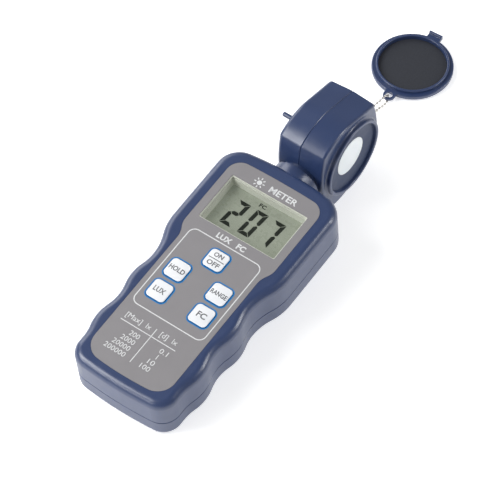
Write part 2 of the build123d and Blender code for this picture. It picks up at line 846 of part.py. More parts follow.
def chain_eye():
    """Swivelling eye that the chain passes through, its pin in the head's far end."""
    inner = head_far_y - head_wall
    centre_y = head_far_y + eye_gap
    head_y1 = inner - eye_head_depth
    eye = rod_y(eye_shaft_r, head_y1 - 0.2, centre_y - eye_hole_r - 0.3)
    eye += rod_y(eye_head_r, head_y1 - eye_head_thickness, head_y1)
    ring = rod_x(eye_r, -eye_thickness / 2, eye_thickness / 2, centre_y)
    ring = fillet(ring.edges(), eye_edge_r)
    eye += ring
    return eye - rod_x(eye_hole_r, -5, 5, centre_y)


# ================================================================ cap (its own frame, Z up on the table)
cap_plug_r = ring_bore_r - cap_plug_gap
cap_height = cap_flange_thickness + cap_plug_height


def sensor_cap():
    """Lies on its outer face, with the ear towards -Y and the pull tab towards +Y."""
    cap = rod_z(cap_flange_r, 0, cap_flange_thickness, 0, 0)
    cap = chamfer(cap.edges().sort_by(Axis.Z)[0], cap_flange_step)
    cap = fillet(cap.edges().sort_by(Axis.Z)[-1], cap_edge_r)
    cap += rod_z(cap_plug_r, cap_flange_thickness - 1, cap_height, 0, 0)
    cap -= rod_z(cap_plug_r - cap_plug_wall, cap_flange_thickness - cap_floor_depth, cap_height + 1, 0, 0)
    rim = cap.edges().filter_by(GeomType.CIRCLE).group_by(Axis.Z)[-1]
    cap = fillet(rim, cap_rim_r)
    ear_r = ear_hole_r + ear_bridge
    ear_z0 = cap_flange_thickness - ear_thickness
    ear = rod_z(ear_r, ear_z0, cap_flange_thickness, 0, -ear_reach)
    ear += block(-ear_r, ear_r, -ear_reach, -cap_flange_r + 2, ear_z0, cap_flange_thickness)
    cap += ear
    cap -= rod_z(ear_hole_r, -1, cap_flange_thickness + 1, 0, -ear_reach)
    tab_z0 = cap_flange_thickness - tab_thickness
    tab = block(-tab_half_width, tab_half_width, cap_flange_r - 3, tab_reach,
                tab_z0, cap_flange_thickness)
    lip = block(-tab_half_width, tab_half_width, tab_reach - tab_lip_width, tab_reach,
                tab_z0, cap_flange_thickness + tab_lip)
    tab = fillet((tab + lip).edges().filter_by(Axis.X), 0.5)
    return cap + tab


def cap_liner():
    z0 = cap_flange_thickness - cap_floor_depth
    return rod_z(cap_plug_r - cap_plug_wall - 2 * fit_gap, z0, z0 + cap_liner_thickness, 0, 0)


# ================================================================ placing on the table
def resting_tilt():
    """Angle at which the head's round lower edge and the body's front edge both touch."""
    dy = head_top_centre[0] - back_edge_r
    dz = -head_top_centre[1] - (back_z + back_edge_r)
    drop = head_top_r - back_edge_r
    return math.asin(drop / math.hypot(dy, dz)) - math.atan2(dz, dy)


def meter_place():
    """Meter frame to table frame, with the front edge's contact at Y = 0."""
    tilt = resting_tilt()
    lift = back_edge_r - (back_edge_r * math.sin(tilt) + (back_z + back_edge_r) * math.cos(tilt))
    shift = -(back_edge_r * math.cos(tilt) - (back_z + back_edge_r) * math.sin(tilt))
    return Pos(0, shift, lift) * Rot(math.degrees(tilt), 0, 0)


def cap_place():
    return Pos(cap_x, cap_y, 0) * Rot(0, 0, cap_rotation)


def on_table(place, x, y, z):
    spot = (place * Pos(x, y, z)).position
    return (spot.X, spot.Y, spot.Z)


def chain_route():
    """The chain's corners, from the eye down to the ear of the cap and back up."""
    ex, ey, ez = on_table(meter_place(), 0, head_far_y + eye_gap, 0)
    hx, hy, _ = on_table(cap_place(), 0, -ear_reach, 0)
    ear_z = cap_flange_thickness - ear_thickness / 2
    fold = ear_bridge / 2 + chain_r + fold_gap
    bridge_y = hy - ear_hole_r - ear_bridge / 2
    floor = chain_r
    down = [
        (ex, ey, ez),
        (ex - 3.0, ey + 0.1, ez - 0.3),
        (ex - 4.2, ey + 0.9, ez - 6.0),
        (ex - 4.6, ey + 2.6, ez - 17.5),
        (ex - 5.6, ey + 4.2, floor + 4.6),
        (hx - 3.9, hy - 18.5, floor + 0.4),
        (hx - 3.1, hy - 10.5, floor + 0.7),
    ]
    around_ear = [
        (hx - 0.9, bridge_y - fold - 0.6, ear_z + fold),
        (hx - 0.2, bridge_y + fold, ear_z + fold - 0.1),
        (hx + 0.2, bridge_y + fold, ear_z - fold + 0.1),
        (hx + 0.9, bridge_y - fold - 0.6, floor + 0.05),
    ]
    up = [
        (hx - 0.7, hy - 10.5, floor),
        (hx - 0.1, hy - 19.0, floor + 0.6),
        (ex + 4.2, ey + 5.2, floor + 5.2),
        (ex + 4.9, ey + 3.0, ez - 18.0),
        (ex + 4.1, ey + 1.0, ez - 6.5),
        (ex + 3.0, ey + 0.1, ez - 0.4),
        (ex + 0.05, ey, ez),
    ]
    return down + around_ear + up


def arc_radii(points):
    """Each corner's radius: as large as its two runs allow."""
    radii = []
    for a, b, c in zip(points, points[1:], points[2:]):
        run_in, run_out = Vector(*b) - Vector(*a), Vector(*c) - Vector(*b)
        half_turn = math.radians(run_in.get_angle(run_out)) / 2
        radii.append(0.45 * min(run_in.length, run_out.length) / math.tan(half_turn))
    return radii


def ball_chain():
    points = chain_route()
    radii = arc_radii(points)
    path = FilletPolyline(*points, radius=radii)
    tube = sweep(Plane(path @ 0, z_dir=path % 0) * Circle(chain_r), path)
    print("chain radii", [round(r, 1) for r in radii], "length", round(path.length, 1),
          "volume ratio", round(tube.volume / (math.pi * chain_r ** 2 * path.length), 4))
    return tube


def chain_coupling():
    """Barrel clasp that joins the chain's two ends, on the right-hand strand."""
    low, high = [Vector(*point) for point in chain_route()[-5:-3]]
    run = (high - low).normalized()
    centre = (low + high) * 0.5
    plane = Plane(centre - run * (coupling_length / 2), z_dir=run)
    barrel = extrude(plane * Circle(coupling_r), coupling_length)
    barrel = fillet(barrel.edges(), coupling_edge_r)
    return barrel - extrude(plane * Circle(chain_r + fit_gap), coupling_length)


# ================================================================ all pieces
def meter_pieces():
    pieces = {
        "front_casing": front_casing(),
        "rear_casing": rear_casing(),
        "casing_screws": casing_screws(),
        "label_panel": label_panel(),
        "lcd_frame": lcd_frame(),
        "window_lens": window_lens(),
        "lcd_glass": lcd_glass(),
        "zebra_strips": zebra_strips(),
        "main_board": main_board(),
        "board_screws": board_screws(),
        "tact_switches": tact_switches(),
        "main_chip": main_chip(),
        "board_parts": board_parts(),
        "battery": battery(),
        "battery_snap": battery_snap(),
        "battery_leads": battery_leads(),
        "battery_door": battery_door(),
        "neck_bush": neck_bush(),
        "friction_washer": friction_washer(),
        "retaining_clip": retaining_clip(),
        "swivel_spindle": swivel_spindle(),
        "head_front_shell": head_front_shell(),
        "head_rear_shell": head_rear_shell(),
        "head_screws": head_shell_screws(),
        "sensor_plate": sensor_plate(),
        "diffuser": diffuser(),
        "sensor_holder": sensor_holder(),
        "optical_filter": optical_filter(),
        "photodiode": photodiode(),
        "sensor_board": sensor_board(),
        "sensor_cable": sensor_cable(),
        "chain_eye": chain_eye(),
    }
    for name, (x, y, switch_y) in key_places().items():
        pieces[name] = key_cap(x, y, switch_y)
    return pieces


def as_compound(piece):
    solids = []
    for item in piece if isinstance(piece, list) else [piece]:
        solids.extend(item.solids())
    return Compound(solids) if len(solids) > 1 else solids[0]


def main():
    placed = {}
    for name, piece in meter_pieces().items():
        placed[name] = as_compound(piece).moved(meter_place())
    placed["sensor_cap"] = as_compound(sensor_cap()).moved(cap_place())
    placed["cap_liner"] = as_compound(cap_liner()).moved(cap_place())
    boxes = [shape.bounding_box() for shape in placed.values()]
    lows = [min(getattr(box.min, axis) for box in boxes) for axis in "XYZ"]
    highs = [max(getattr(box.max, axis) for box in boxes) for axis in "XYZ"]
    placed["ball_chain"] = as_compound(ball_chain())
    placed["chain_coupling"] = as_compound(chain_coupling())
    centre = Pos(-(lows[0] + highs[0]) / 2, -(lows[1] + highs[1]) / 2, 0)
    os.makedirs("parts", exist_ok=True)
    for name, shape in placed.items():
        export_step(shape.moved(centre), f"parts/{name}.step")
    print("tilt", round(math.degrees(resting_tilt()), 4), "centre", centre.position,
          "lows", [round(v, 3) for v in lows], "highs", [round(v, 3) for v in highs])


main()
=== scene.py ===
"""Looks of a handheld light meter with a swivelling sensor head and a chained sensor cap.

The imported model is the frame. Every piece here is placed in the meter's own
frame, in millimetres: X across the body, Y from its front end to the head, Z
out of the display face, with Z = 0 on the swivel axis. The frame's swivel
joint says where that frame lies.
"""
import bpy
import bmesh
import json
import math
from mathutils import Matrix, Vector


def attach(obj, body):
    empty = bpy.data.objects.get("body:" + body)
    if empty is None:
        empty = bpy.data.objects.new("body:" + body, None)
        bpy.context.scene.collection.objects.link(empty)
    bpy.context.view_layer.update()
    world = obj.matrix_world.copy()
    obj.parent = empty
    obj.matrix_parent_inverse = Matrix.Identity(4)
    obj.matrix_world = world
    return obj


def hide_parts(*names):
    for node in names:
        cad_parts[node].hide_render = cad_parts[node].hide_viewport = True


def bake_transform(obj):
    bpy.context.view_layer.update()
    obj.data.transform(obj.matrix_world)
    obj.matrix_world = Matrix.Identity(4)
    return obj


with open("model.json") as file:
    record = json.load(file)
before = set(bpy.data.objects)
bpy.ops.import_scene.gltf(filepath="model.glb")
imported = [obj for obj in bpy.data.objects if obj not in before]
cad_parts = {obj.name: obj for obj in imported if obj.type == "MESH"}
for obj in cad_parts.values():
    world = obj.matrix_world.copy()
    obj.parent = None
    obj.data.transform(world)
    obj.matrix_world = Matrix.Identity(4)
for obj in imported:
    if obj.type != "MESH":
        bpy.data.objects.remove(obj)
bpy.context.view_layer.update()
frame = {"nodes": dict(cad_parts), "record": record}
scene = bpy.context.scene
MM = 0.001


# ================================================================ the meter's frame
def joint(name):
    return next(j for j in frame["record"]["behaviour"]["joints"] if j["name"] == name)


def axes_matrix(right, along, up, origin):
    matrix = Matrix((right, along, up)).transposed().to_4x4()
    matrix.translation = origin
    return matrix


SWIVEL_Y = 152.4                # the swivel joint's place on the meter, from the body's front
RIGHT = Vector((1, 0, 0))
ALONG = Vector(joint("head_swivel")["axis"])
UP = RIGHT.cross(ALONG)
METER = axes_matrix(RIGHT, ALONG, UP, Vector(joint("head_swivel")["pos_m"]) - ALONG * SWIVEL_Y * MM)


def on_meter(x, y, z):
    """A point of the meter, given in millimetres, in the row frame."""
    return METER @ (Vector((x, y, z)) * MM)


FACE_Z = 14.0                   # display face
LCD_Z = 6.6                     # display glass
KEY_TOP = 14.55                 # rim of a key's domed top
KEY_DOME = 0.35                 # how far the dome rises from that rim
KEY_SIZE = 11.0
KEYS = {"on_off_key": (0, 83.6), "hold_key": (-12.7, 68.6), "range_key": (12.7, 68.6),
        "lux_key": (-12.7, 54.3), "fc_key": (12.7, 54.3)}
PRINT = 0.05                    # how far the ink stands on its surface
PRINT_ROOT = 0.02               # how far it reaches into that surface, so that no gap shows


# ================================================================ camera
CAMERA_BACK = (0.3496, -0.3986, 0.8479)     # from the aim to the camera, in the meter's axes
CAMERA_RIGHT = (0.8090, 0.5849, -0.0586)    # the picture's right, in the meter's axes
CAMERA_AIM = (8.8, 99.7, FACE_Z)            # in millimetres on the meter
CAMERA_DISTANCE = 1.380                     # metres
CAMERA_LENS, CAMERA_SENSOR = 202.3, 36.0    # millimetres


def make_camera():
    """Looks down on the meter from beyond its front right corner."""
    turn = METER.to_3x3()
    back = (turn @ Vector(CAMERA_BACK)).normalized()
    right = (turn @ Vector(CAMERA_RIGHT)).normalized()
    up = back.cross(right)
    data = bpy.data.cameras.new("camera")
    data.sensor_width = CAMERA_SENSOR
    data.lens = CAMERA_LENS
    data.clip_start, data.clip_end = 0.01, 20.0
    camera = bpy.data.objects.new("camera", data)
    scene.collection.objects.link(camera)
    camera.matrix_world = axes_matrix(right, up, back, on_meter(*CAMERA_AIM) + back * CAMERA_DISTANCE)
    scene.camera = camera


make_camera()


# ================================================================ material helpers
NOISE_LOW, NOISE_HIGH = 0.3, 0.7            # nearly all of a noise's values lie between these


def shader_of(name, colour, roughness, metallic=0.0):
    """A new material with its Principled shader set."""
    material = bpy.data.materials.new(name)
    material.use_nodes = True
    shader = material.node_tree.nodes["Principled BSDF"]
    shader.inputs["Base Color"].default_value = (*colour, 1.0)
    shader.inputs["Roughness"].default_value = roughness
    shader.inputs["Metallic"].default_value = metallic
    return material, material.node_tree, shader


def object_coordinates(tree, turned=False):
    """Object coordinates, or the same point in the meter's own axes if turned."""
    place = tree.nodes.new("ShaderNodeTexCoord").outputs["Object"]
    if not turned:
        return place
    mapping = tree.nodes.new("ShaderNodeMapping")
    back = METER.inverted()
    mapping.inputs["Location"].default_value = back.translation
    mapping.inputs["Rotation"].default_value = back.to_euler()
    tree.links.new(place, mapping.inputs["Vector"])
    return mapping.outputs["Vector"]


def noise(tree, size_mm, detail=2.0, squeeze=None):
    """Noise whose blotches are about size_mm across, or narrower along an axis that is squeezed."""
    texture = tree.nodes.new("ShaderNodeTexNoise")
    texture.inputs["Scale"].default_value = 1.0 / (size_mm * MM)
    texture.inputs["Detail"].default_value = detail
    place = object_coordinates(tree)
    if squeeze:
        mapping = tree.nodes.new("ShaderNodeMapping")
        mapping.inputs["Scale"].default_value = squeeze
        tree.links.new(place, mapping.inputs["Vector"])
        place = mapping.outputs["Vector"]
    tree.links.new(place, texture.inputs["Vector"])
    return texture.outputs["Fac"]


def between(tree, value, low, high, to_low, to_high):
    """Maps a value's range to another."""
    node = tree.nodes.new("ShaderNodeMapRange")
    for socket, number in zip(("From Min", "From Max", "To Min", "To Max"), (low, high, to_low, to_high)):
        node.inputs[socket].default_value = number
    tree.links.new(value, node.inputs["Value"])
    return node.outputs["Result"]


def blended(tree, factor, colour_a, colour_b):
    """Mixes two colours, either of them a tuple or a socket."""
    node = tree.nodes.new("ShaderNodeMix")
    node.data_type = "RGBA"
    tree.links.new(factor, node.inputs["Factor"])
    for socket, colour in ((node.inputs[6], colour_a), (node.inputs[7], colour_b)):
        if isinstance(colour, tuple):
            socket.default_value = (*colour, 1.0)
        else:
            tree.links.new(colour, socket)
    return node.outputs[2]


def clouds(tree, size_mm):
    """Noise spread over the whole range from 0 to 1."""
    return between(tree, noise(tree, size_mm), NOISE_LOW, NOISE_HIGH, 0.0, 1.0)


def mottled(tree, shader, colour, amount, size_mm):
    """Slight cloudiness of a moulded or painted colour."""
    factor = clouds(tree, size_mm)
    low = tuple(c * (1 - amount) for c in colour)
    high = tuple(c * (1 + amount) for c in colour)
    tree.links.new(blended(tree, factor, low, high), shader.inputs["Base Color"])


def grained(tree, shader, size_mm, height_mm, strength=1.0, detail=2.0, squeeze=None):
    """A fine surface grain, as a bump."""
    bump = tree.nodes.new("ShaderNodeBump")
    bump.inputs["Strength"].default_value = strength
    bump.inputs["Distance"].default_value = height_mm * MM
    tree.links.new(noise(tree, size_mm, detail, squeeze), bump.inputs["Height"])
    tree.links.new(bump.outputs["Normal"], shader.inputs["Normal"])


def uneven_gloss(tree, shader, low, high, size_mm):
    """Roughness that drifts between two values."""
    result = between(tree, noise(tree, size_mm), NOISE_LOW, NOISE_HIGH, low, high)
    tree.links.new(result, shader.inputs["Roughness"])


def meter_axis(tree, axis):
    """A point's distance in metres along the meter's X, Y or Z axis."""
    split = tree.nodes.new("ShaderNodeSeparateXYZ")
    tree.links.new(object_coordinates(tree, turned=True), split.inputs["Vector"])
    return split.outputs[axis]


# ================================================================ finishes
NAVY = (0.027, 0.049, 0.132)
PRINT_WHITE = (0.72, 0.73, 0.74)
KEY_BLUE = (0.006, 0.19, 0.52)
FLOOR_WHITE = (0.88, 0.88, 0.88)
KEY_PAINT_DEPTH = (0.22, 0.12)              # under a key's rim: blue below, white above
BAND_EDGE = (9.0, 9.3)                      # along X, where the battery's jacket changes colour
TRACK_SCALE = 180.0                         # of the circuit board's pattern, per metre


def moulded_plastic(name, colour, gloss=(0.3, 0.4), grain=(0.35, 0.012), cloud=0.04, ior=1.5):
    """Satin injection-moulded plastic: a spark-eroded grain and slight cloudiness."""
    material, tree, shader = shader_of(name, colour, gloss[0])
    shader.inputs["IOR"].default_value = ior
    mottled(tree, shader, colour, cloud, 18.0)
    uneven_gloss(tree, shader, *gloss, 6.0)
    grained(tree, shader, *grain)
    return material


def label_foil():
    """Matt printed foil with a fine orange-peel lacquer."""
    colour = (0.255, 0.246, 0.256)
    material, tree, shader = shader_of("label_foil", colour, 0.5)
    mottled(tree, shader, colour, 0.02, 9.0)
    uneven_gloss(tree, shader, 0.42, 0.5, 4.0)
    grained(tree, shader, 0.5, 0.006)
    return material


def key_silicone():
    """White key with blue sides under its printed top."""
    material, tree, shader = shader_of("key_silicone", (0.86, 0.88, 0.90), 0.35)
    blue_below, white_above = ((KEY_TOP - depth) * MM for depth in KEY_PAINT_DEPTH)
    rim = between(tree, meter_axis(tree, "Z"), blue_below, white_above, 0.0, 1.0)
    top = blended(tree, clouds(tree, 5.0), (0.83, 0.85, 0.88), (0.89, 0.90, 0.92))
    tree.links.new(blended(tree, rim, KEY_BLUE, top), shader.inputs["Base Color"])
    uneven_gloss(tree, shader, 0.28, 0.38, 3.0)
    grained(tree, shader, 0.4, 0.006)
    return material


def ink(name, colour, roughness=0.45):
    """Screen-printed ink."""
    material, tree, shader = shader_of(name, colour, roughness)
    mottled(tree, shader, colour, 0.03, 1.5)
    return material


def clear_lens():
    """Thin acrylic window: mostly see-through, with a hard gloss."""
    material, tree, shader = shader_of("clear_lens", (0.02, 0.03, 0.025), 0.04)
    shader.inputs["Alpha"].default_value = 0.06
    shader.inputs["IOR"].default_value = 1.49
    uneven_gloss(tree, shader, 0.03, 0.07, 12.0)
    return material


def display_glass():
    """Reflective liquid-crystal glass: grey-green and slightly cloudy, with a faint emission as painted
    light that brightens it.
    """
    colour = (0.285, 0.310, 0.250)
    material, tree, shader = shader_of("display_glass", colour, 0.3)
    # painted light: a faint emission that brightens the display glass, which gives no light of its own
    shader.inputs["Emission Color"].default_value = (0.90, 1.0, 0.82, 1.0)
    shader.inputs["Emission Strength"].default_value = 0.09
    mottled(tree, shader, colour, 0.035, 14.0)
    uneven_gloss(tree, shader, 0.25, 0.32, 3.0)
    return material


def opal_diffuser():
    """Opal acrylic that scatters light under its matt skin."""
    colour = (0.86, 0.91, 0.94)
    material, tree, shader = shader_of("opal_diffuser", colour, 0.4)
    shader.inputs["Subsurface Weight"].default_value = 0.35
    shader.inputs["Subsurface Radius"].default_value = (0.9, 1.0, 1.1)
    shader.inputs["Subsurface Scale"].default_value = 1.2 * MM
    mottled(tree, shader, colour, 0.015, 6.0)
    grained(tree, shader, 0.3, 0.006)
    return material


def soft_rubber(name, colour, grain=(0.5, 0.03)):
    """Matt rubber or a wire's soft insulation."""
    material, tree, shader = shader_of(name, colour, 0.7)
    mottled(tree, shader, colour, 0.15, 2.5)
    uneven_gloss(tree, shader, 0.6, 0.8, 2.0)
    grained(tree, shader, *grain)
    return material


def cap_lining():
    """Thin black felt, nearly smooth, with a soft sheen."""
    colour = (0.020, 0.023, 0.033)
    material, tree, shader = shader_of("cap_lining", colour, 0.6)
    shader.inputs["Sheen Weight"].default_value = 0.1
    mottled(tree, shader, colour, 0.12, 0.8)
    grained(tree, shader, 0.4, 0.02, 0.6, 3.0)
    return material


def bright_metal(name, colour, gloss, brushed=None):
    """Plated metal, its grain squeezed along an axis if brushed."""
    material, tree, shader = shader_of(name, colour, gloss[0], 1.0)
    mottled(tree, shader, colour, 0.05, 2.0)
    uneven_gloss(tree, shader, *gloss, 1.5)
    grained(tree, shader, 0.25, 0.01, 0.5, 2.0, brushed)
    return material


def circuit_board():
    """Green solder mask over copper tracks."""
    green = (0.015, 0.13, 0.055)
    material, tree, shader = shader_of("circuit_board", green, 0.3)
    tracks = tree.nodes.new("ShaderNodeTexBrick")
    tracks.inputs["Scale"].default_value = TRACK_SCALE
    tracks.inputs["Mortar Size"].default_value = 0.03
    tracks.inputs["Color1"].default_value = (*green, 1.0)
    tracks.inputs["Color2"].default_value = (0.018, 0.15, 0.065, 1.0)
    tracks.inputs["Mortar"].default_value = (0.05, 0.27, 0.10, 1.0)
    tree.links.new(object_coordinates(tree, turned=True), tracks.inputs["Vector"])
    tree.links.new(tracks.outputs["Color"], shader.inputs["Base Color"])
    uneven_gloss(tree, shader, 0.25, 0.35, 3.0)
    return material


def battery_wrap():
    """Printed steel jacket: a dark body under a copper-coloured band."""
    material, tree, shader = shader_of("battery_wrap", (0.03, 0.03, 0.03), 0.25)
    band = between(tree, meter_axis(tree, "X"), BAND_EDGE[0] * MM, BAND_EDGE[1] * MM, 0.0, 1.0)
    tree.links.new(blended(tree, band, (0.03, 0.03, 0.032), (0.42, 0.22, 0.09)),
                   shader.inputs["Base Color"])
    uneven_gloss(tree, shader, 0.22, 0.32, 5.0)
    return material


def green_filter():
    """Tinted, half-clear filter glass."""
    material, tree, shader = shader_of("green_filter", (0.35, 0.6, 0.3), 0.1)
    shader.inputs["Alpha"].default_value = 0.6
    uneven_gloss(tree, shader, 0.08, 0.14, 4.0)
    return material


FINISHES = {
    "casing_blue": moulded_plastic("casing_plastic", NAVY, (0.28, 0.34), (0.35, 0.003), ior=1.7),
    "head_blue": moulded_plastic("head_plastic", NAVY, (0.28, 0.34), (0.35, 0.003), ior=1.7),
    "label_grey": label_foil(),
    "window_clear": clear_lens(),
    "display_glass": display_glass(),
    "display_frame": moulded_plastic("display_frame", (0.74, 0.76, 0.68), (0.4, 0.5)),
    "key_white": key_silicone(),
    "rubber_black": soft_rubber("black_rubber", (0.03, 0.03, 0.034)),
    "board_green": circuit_board(),
    "part_black": moulded_plastic("black_plastic", (0.02, 0.02, 0.022), (0.4, 0.55)),
    "steel": bright_metal("zinc_steel", (0.58, 0.58, 0.60), (0.28, 0.4), (1, 6, 1)),
    "chain_nickel": bright_metal("chain_nickel", (0.60, 0.58, 0.55), (0.34, 0.42)),
    "battery_case": battery_wrap(),
    "lead_insulation": soft_rubber("lead_insulation", (0.32, 0.02, 0.02), (0.8, 0.01)),
    "bush_acetal": moulded_plastic("acetal", (0.78, 0.78, 0.74), (0.3, 0.4)),
    "sensor_blue": moulded_plastic("sensor_plate_plastic", (0.034, 0.052, 0.110), (0.5, 0.6), (0.5, 0.012)),
    "opal_white": opal_diffuser(),
    "filter_green": green_filter(),
    "liner_black": cap_lining(),
}
WHITE_INK = ink("white_ink", PRINT_WHITE)
GREY_INK = ink("grey_ink", (0.14, 0.145, 0.16))
BLUE_INK = ink("blue_ink", KEY_BLUE)
SEGMENT_BLACK = ink("segment_black", (0.010, 0.013, 0.008), 0.35)


def finish_cad_nodes():
    """Every carried-over node takes the finish of its material slot."""
    for subpart in frame["record"]["subparts"]:
        mesh = frame["nodes"][subpart["node"]].data
        mesh.materials.clear()
        mesh.materials.append(FINISHES[subpart["material_slot"]])


finish_cad_nodes()


# ================================================================ chain
ROW_Y = -139.428                # from the table frame of the chain's route to the row frame
CHAIN_DIAMETER = 1.5
BALL_PITCH = 2.0
BALL_SEGMENTS, BALL_RINGS = 12, 8
WIRE_RADIUS, WIRE_SIDES = 0.24, 6
ROUTE_STEPS = 24                # points of the line for each span of the route
CHAIN_ROUTE = [
    (0.00, 201.91, 30.64), (-3.00, 202.01, 30.34), (-4.20, 202.81, 24.64), (-4.60, 204.51, 13.14),
    (-5.60, 206.11, 5.35), (-7.15, 216.13, 1.15), (-6.35, 224.13, 1.45),
    (-4.15, 229.63, 4.70), (-3.45, 233.93, 4.60), (-3.05, 233.93, 1.10), (-2.35, 229.63, 0.80),
    (-3.95, 224.13, 0.75), (-3.35, 215.63, 1.35), (4.20, 207.11, 5.95), (4.90, 204.91, 12.64),
    (4.10, 202.91, 24.14), (3.00, 202.01, 30.24), (0.05, 201.91, 30.64)]


def chain_points():
    """The route's control points in the row frame, out to the cap and back."""
    return [Vector((x, y + ROW_Y, z)) * MM for x, y, z in CHAIN_ROUTE]


def route_curve(name, points):
    """A smooth curve that the points steer."""
    data = bpy.data.curves.new(name, "CURVE")
    data.dimensions = "3D"
    data.resolution_u = ROUTE_STEPS
    spline = data.splines.new("NURBS")
    spline.points.add(len(points) - 1)
    for point, place in zip(spline.points, points):
        point.co = (*place, 1.0)
    spline.order_u = 3
    spline.use_endpoint_u = True
    curve = bpy.data.objects.new(name, data)
    scene.collection.objects.link(curve)
    return curve


def line_of(curve):
    """The points along a curve that has no bevel."""
    graph = bpy.context.evaluated_depsgraph_get()
    mesh = bpy.data.meshes.new_from_object(curve.evaluated_get(graph))
    return [vertex.co.copy() for vertex in mesh.vertices]


def node_tree(name, inputs):
    """A Geometry Nodes tree with a geometry in and out and the named inputs."""
    tree = bpy.data.node_groups.new(name, "GeometryNodeTree")
    tree.interface.new_socket("Geometry", in_out="INPUT", socket_type="NodeSocketGeometry")
    for label, kind in inputs.items():
        tree.interface.new_socket(label, in_out="INPUT", socket_type=kind)
    tree.interface.new_socket("Geometry", in_out="OUTPUT", socket_type="NodeSocketGeometry")
    entry = tree.nodes.new("NodeGroupInput")
    leave = tree.nodes.new("NodeGroupOutput")
    return tree, entry, leave


def link(tree, source, target):
    tree.links.new(source, target)


def ball_chain_tree():
    """Beads on a wire: a ball at every pitch along the curve, and the wire between them."""
    tree, entry, leave = node_tree("ball_chain", {
        "Ball radius": "NodeSocketFloat", "Pitch": "NodeSocketFloat", "Wire radius": "NodeSocketFloat",
        "Material": "NodeSocketMaterial"})
    new = tree.nodes.new
    spots = new("GeometryNodeCurveToPoints")
    spots.mode = "LENGTH"
    link(tree, entry.outputs["Geometry"], spots.inputs["Curve"])
    link(tree, entry.outputs["Pitch"], spots.inputs["Length"])
    ball = new("GeometryNodeMeshUVSphere")
    ball.inputs["Segments"].default_value = BALL_SEGMENTS
    ball.inputs["Rings"].default_value = BALL_RINGS
    link(tree, entry.outputs["Ball radius"], ball.inputs["Radius"])
    smooth = new("GeometryNodeSetShadeSmooth")
    link(tree, ball.outputs["Mesh"], smooth.inputs["Geometry"])
    balls = new("GeometryNodeInstanceOnPoints")
    link(tree, spots.outputs["Points"], balls.inputs["Points"])
    link(tree, smooth.outputs["Geometry"], balls.inputs["Instance"])
    link(tree, spots.outputs["Rotation"], balls.inputs["Rotation"])
    section = new("GeometryNodeCurvePrimitiveCircle")
    section.inputs["Resolution"].default_value = WIRE_SIDES
    link(tree, entry.outputs["Wire radius"], section.inputs["Radius"])
    wire = new("GeometryNodeCurveToMesh")
    wire.inputs["Fill Caps"].default_value = True
    link(tree, entry.outputs["Geometry"], wire.inputs["Curve"])
    link(tree, section.outputs["Curve"], wire.inputs["Profile Curve"])
    joined = new("GeometryNodeJoinGeometry")
    link(tree, balls.outputs["Instances"], joined.inputs["Geometry"])
    link(tree, wire.outputs["Mesh"], joined.inputs["Geometry"])
    real = new("GeometryNodeRealizeInstances")
    link(tree, joined.outputs["Geometry"], real.inputs["Geometry"])
    finish = new("GeometryNodeSetMaterial")
    link(tree, real.outputs["Geometry"], finish.inputs["Geometry"])
    link(tree, entry.outputs["Material"], finish.inputs["Material"])
    link(tree, finish.outputs["Geometry"], leave.inputs["Geometry"])
    return tree


def made_by(tree, source, values, name):
    """Runs the tree on an object, returns the result as a plain mesh piece and removes the modifier."""
    modifier = source.modifiers.new("nodes", "NODES")
    modifier.node_group = tree
    for item in tree.interface.items_tree:
        if item.in_out == "INPUT" and item.name in values:
            modifier[item.identifier] = values[item.name]
    graph = bpy.context.evaluated_depsgraph_get()
    mesh = bpy.data.meshes.new_from_object(source.evaluated_get(graph))
    source.modifiers.remove(modifier)
    mesh.name = name
    return linked(name, mesh)


def linked(name, mesh):
    piece = bpy.data.objects.new(name, mesh)
    scene.collection.objects.link(piece)
    return piece


def make_chain():
    points = chain_points()
    route = route_curve("chain_route", points)
    line = line_of(route)
    values = {"Ball radius": CHAIN_DIAMETER / 2 * MM, "Pitch": BALL_PITCH * MM,
              "Wire radius": WIRE_RADIUS * MM, "Material": FINISHES["chain_nickel"]}
    chain = made_by(ball_chain_tree(), route, values, "bead_chain")
    bpy.data.objects.remove(route)
    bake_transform(chain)
    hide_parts("ball_chain")


make_chain()


# ================================================================ flat shapes
WELD = 1e-5                     # millimetres: closer points are one


def rounded_rectangle(half_x, half_y, radius, steps=8):
    """Corner points, anticlockwise, of a rectangle with round corners about the origin."""
    points = []
    for quarter, (sx, sy) in enumerate(((1, 1), (-1, 1), (-1, -1), (1, -1))):
        for step in range(steps + 1):
            angle = math.pi / 2 * (quarter + step / steps)
            points.append((sx * (half_x - radius) + radius * math.cos(angle),
                           sy * (half_y - radius) + radius * math.sin(angle)))
    return points


def moved(points, x, y):
    return [(px + x, py + y) for px, py in points]


def add_prism(mesh, points, low, high):
    """Adds a closed solid with that outline, anticlockwise, between two heights."""
    bottom = [mesh.verts.new((x, y, low)) for x, y in points]
    top = [mesh.verts.new((x, y, high)) for x, y in points]
    mesh.faces.new(top)
    mesh.faces.new(bottom[::-1])
    for i in range(len(points)):
        j = (i + 1) % len(points)
        mesh.faces.new((bottom[i], bottom[j], top[j], top[i]))


def add_band(mesh, outer, inner, low, high):
    """Adds a closed ring between two outlines with the same number of points."""
    loops = [[mesh.verts.new((x, y, z)) for x, y in points]
             for points, z in ((outer, low), (outer, high), (inner, high), (inner, low))]
    count = len(outer)
    for a in range(4):
        near, far = loops[a], loops[(a + 1) % 4]
        for i in range(count):
            j = (i + 1) % count
            mesh.faces.new((near[i], near[j], far[j], far[i]))


def add_bar(mesh, start, end, width, low, high):
    """Adds a straight printed line."""
    a, b = Vector(start), Vector(end)
    side = (b - a).normalized().orthogonal() * width / 2
    points = [tuple(p) for p in (a - side, b - side, b + side, a + side)]
    if side.cross(b - a) > 0:
        points.reverse()
    add_prism(mesh, points, low, high)


